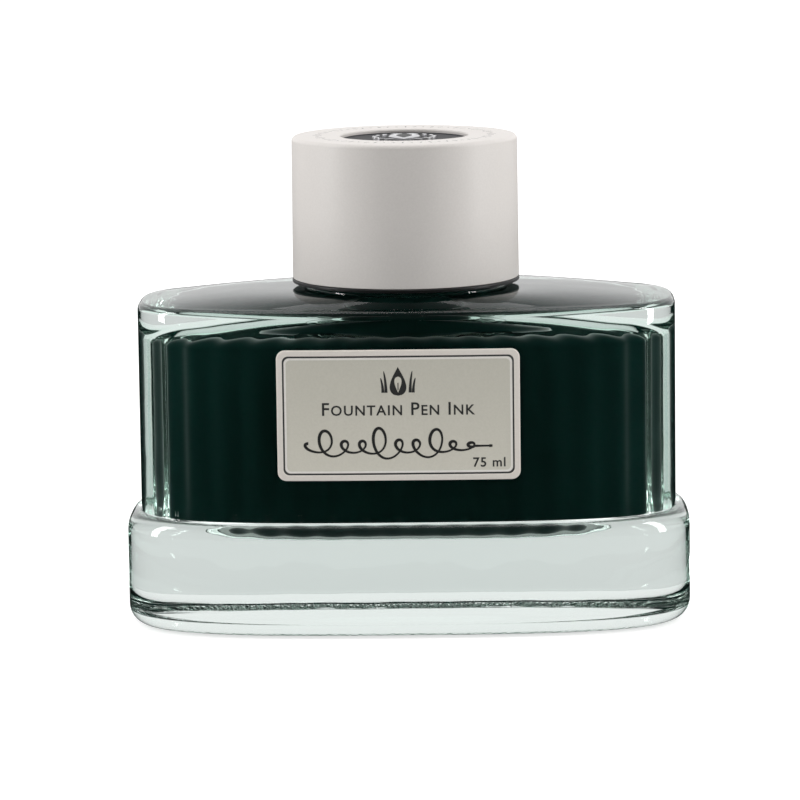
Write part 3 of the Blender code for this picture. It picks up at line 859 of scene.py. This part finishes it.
_, emblem_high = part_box("badge_emblem")
EMBLEM_TOP = emblem_high.z / MM - 0.1
EMBLEM_FOOT = BADGE_TOP - 0.1
EMBLEM_LENGTH = 8.2
EMBLEM_WIDTH = 5.2
LEAF_COUNT = 7
FIELD_POINT_WIDTH = 0.3
FIELD_SWELL = 2.3
FIELD_LENGTH = 7.0


def struck_silver():
    """Silvered metal, struck and tumbled: bright, with faint pits and soft wear."""
    material, tree = blank_material("struck silver plate")
    place = add_node(tree, "ShaderNodeTexCoord").outputs["Object"]
    wear = add_node(tree, "ShaderNodeTexNoise",
                    {"Vector": place, "Scale": 1.0 / (0.5 * MM), "Detail": 4.0})
    rough = add_node(tree, "ShaderNodeMapRange",
                     {"Value": wear.outputs["Fac"], "To Min": 0.22, "To Max": 0.42})
    shader = add_node(tree, "ShaderNodeBsdfPrincipled",
                      {"Base Color": linear("#DADADC"), "Metallic": 1.0,
                       "Roughness": rough.outputs["Result"]})
    add_node(tree, "ShaderNodeOutputMaterial", {"Surface": shader.outputs["BSDF"]})
    return material


def nib_ring(scale, height):
    """The outline of a nib whose point is towards -Y, shrunk by a scale."""
    half, point, waist = 0.5 * EMBLEM_WIDTH, -0.5 * EMBLEM_LENGTH, 0.16 * EMBLEM_LENGTH
    side = []
    for share in np.linspace(0.04, 1.0, 14):
        side.append((half * math.sin(0.5 * math.pi * share) ** 1.5, point + (waist - point) * share))
    side += [(0.86 * half, waist + 0.1 * EMBLEM_LENGTH), (0.55 * half, 0.43 * EMBLEM_LENGTH),
             (0.42 * half, 0.5 * EMBLEM_LENGTH)]
    outline = side + [(-x, y) for x, y in reversed(side)]
    return [(x * scale, y * scale, height) for x, y in outline]


nib_rings = [nib_ring(1.0, EMBLEM_FOOT), nib_ring(1.0, EMBLEM_TOP - 0.25),
             nib_ring(0.86, EMBLEM_TOP - 0.02), nib_ring(0.7, EMBLEM_TOP)]
silver = struck_silver()
badge_nib = new_piece("badge_nib", skin("badge_nib", nib_rings), "cap", [silver])
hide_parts("badge_emblem")

leaf_paths = []
for side in (-1.0, 1.0):
    for i in range(LEAF_COUNT):
        turn = math.radians(-62.0 + 22.0 * i)
        x, y = side * 4.9 * math.cos(turn), 4.9 * math.sin(turn)
        lean = turn + math.radians(65.0)
        leaf_paths.append([(x + side * math.cos(lean) * t, y + math.sin(lean) * t,
                            0.12 + 0.62 * math.sin(math.pi * (t + 0.8) / 1.6), 0.0)
                           for t in np.linspace(-0.78, 0.78, 7)])
field_path = [[(0.0, y, FIELD_POINT_WIDTH
                + FIELD_SWELL * math.sin(math.pi * (y + 3.4) / FIELD_LENGTH) ** 1.5, 0.0)
               for y in np.linspace(-3.2, 3.2, 17)]]
leaf_sprigs = new_piece("badge_sprigs",
                        from_strokes("badge_sprigs", leaf_paths, on_cap_top, EMBLEM_FOOT, 0.4),
                        "cap", [silver])
nib_field = new_piece("badge_nib_field",
                      from_strokes("badge_nib_field", field_path, on_cap_top, EMBLEM_TOP - 0.02, 0.04),
                      "cap", [printing_ink("blackened field", "#1A1A1B")])


# The studio ------------------------------------------------------------------------------------
# A pale floor, a bright surround that is dimmer on the camera's side, and two soft boxes.

def pale_floor():
    material, tree = blank_material("pale floor")
    path = add_node(tree, "ShaderNodeLightPath")
    matte = add_node(tree, "ShaderNodeBsdfDiffuse", {"Color": linear("#C8C8C8")})
    glow = add_node(tree, "ShaderNodeEmission", {"Color": linear("#FFFFFF"), "Strength": 0.68})
    bright = add_node(tree, "ShaderNodeAddShader", {0: matte.outputs[0], 1: glow.outputs[0]})
    dull = add_node(tree, "ShaderNodeBsdfDiffuse", {"Color": linear("#A2A4A4")})
    even = add_node(tree, "ShaderNodeEmission", {"Color": linear("#FAFAF9"), "Strength": 0.31})
    grey = add_node(tree, "ShaderNodeAddShader", {0: dull.outputs[0], 1: even.outputs[0]})
    lit = add_node(tree, "ShaderNodeMixShader",
                   {0: path.outputs["Is Camera Ray"], 1: grey.outputs[0], 2: bright.outputs[0]})
    dark = add_node(tree, "ShaderNodeEmission", {"Color": linear("#202020"), "Strength": 0.3})
    mirrored = add_node(tree, "ShaderNodeMath",
                        {0: path.outputs["Is Glossy Ray"], 1: path.outputs["Is Reflection Ray"]},
                        operation="MULTIPLY")
    seen = add_node(tree, "ShaderNodeMixShader",
                    {0: mirrored.outputs[0], 1: lit.outputs[0], 2: dark.outputs[0]})
    add_node(tree, "ShaderNodeOutputMaterial", {"Surface": seen.outputs[0]})
    return material


floor_mesh = bpy.data.meshes.new("studio_floor")
floor_shape = bmesh.new()
bmesh.ops.create_grid(floor_shape, x_segments=2, y_segments=2, size=3.0)
floor_shape.to_mesh(floor_mesh)
floor_shape.free()
floor_mesh.materials.append(pale_floor())
studio_floor = bpy.data.objects.new("studio_floor", floor_mesh)
studio_floor.location.z = -0.0001
bpy.context.scene.collection.objects.link(studio_floor)
studio_floor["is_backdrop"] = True

world = bpy.data.worlds.new("studio surround")
bpy.context.scene.world = world
world.use_nodes = True
world.node_tree.nodes.clear()
tree = world.node_tree
path = add_node(tree, "ShaderNodeLightPath")
direction = add_node(tree, "ShaderNodeTexCoord").outputs["Generated"]
parts = add_node(tree, "ShaderNodeSeparateXYZ", {"Vector": direction})
for_matt = add_node(tree, "ShaderNodeMapRange",
                    {"Value": parts.outputs["Y"], "From Min": -0.8, "From Max": -0.1,
                     "To Min": 0.14, "To Max": 0.9})
for_gloss = add_node(tree, "ShaderNodeMapRange",
                     {"Value": parts.outputs["Y"], "From Min": -0.6, "From Max": 0.7,
                      "To Min": 0.06, "To Max": 0.97})
front = add_node(tree, "ShaderNodeMapRange",
                 {"Value": path.outputs["Is Glossy Ray"], "To Min": for_matt.outputs["Result"],
                  "To Max": for_gloss.outputs["Result"]})
surround = add_node(tree, "ShaderNodeBackground", {"Color": linear("#FFFFFF"),
                                                   "Strength": front.outputs["Result"]})
plain = add_node(tree, "ShaderNodeBackground", {"Color": linear("#FFFFFF"), "Strength": 1.0})
choice = add_node(tree, "ShaderNodeMixShader",
                  {0: path.outputs["Is Camera Ray"], 1: surround.outputs[0], 2: plain.outputs[0]})
add_node(tree, "ShaderNodeOutputWorld", {"Surface": choice.outputs[0]})


def soft_box(name, place, size, power):
    light = bpy.data.lights.new(name, "AREA")
    light.shape = "RECTANGLE"
    light.size, light.size_y = size
    light.energy = power
    lamp = bpy.data.objects.new(name, light)
    lamp.location = place
    lamp.rotation_mode = "QUATERNION"
    lamp.rotation_quaternion = (Vector((0.0, 0.0, 0.04)) - lamp.location).to_track_quat("-Z", "Y")
    bpy.context.scene.collection.objects.link(lamp)


soft_box("left_soft_box", (-0.7, -0.12, 0.3), (0.16, 0.7), 3.5)
soft_box("right_soft_box", (0.7, -0.12, 0.3), (0.16, 0.7), 3.6)
soft_box("top_soft_box", (0.0, 0.1, 0.8), (0.6, 0.6), 1.5)

CAMERA_PLACE = Vector((0.0129, -0.7299, 0.146))
CAMERA_AIM = Vector((-0.00125, 0.0, 0.0358))
CAMERA_ROLL = math.radians(-0.75)
lens = bpy.data.cameras.new("camera")
lens.lens = 200.6
lens.sensor_width = 36.0
lens.clip_start = 0.01
camera = bpy.data.objects.new("camera", lens)
camera.location = CAMERA_PLACE
camera.rotation_mode = "QUATERNION"
level_view = (CAMERA_AIM - CAMERA_PLACE).to_track_quat("-Z", "Y")
camera.rotation_quaternion = level_view @ Quaternion((0.0, 0.0, 1.0), CAMERA_ROLL)
bpy.context.scene.collection.objects.link(camera)
bpy.context.scene.camera = camera

scene = bpy.context.scene
scene.view_settings.view_transform = "Standard"
scene.cycles.max_bounces = 24
scene.cycles.transmission_bounces = 24
scene.cycles.glossy_bounces = 12
scene.cycles.use_denoising = True

low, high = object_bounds()
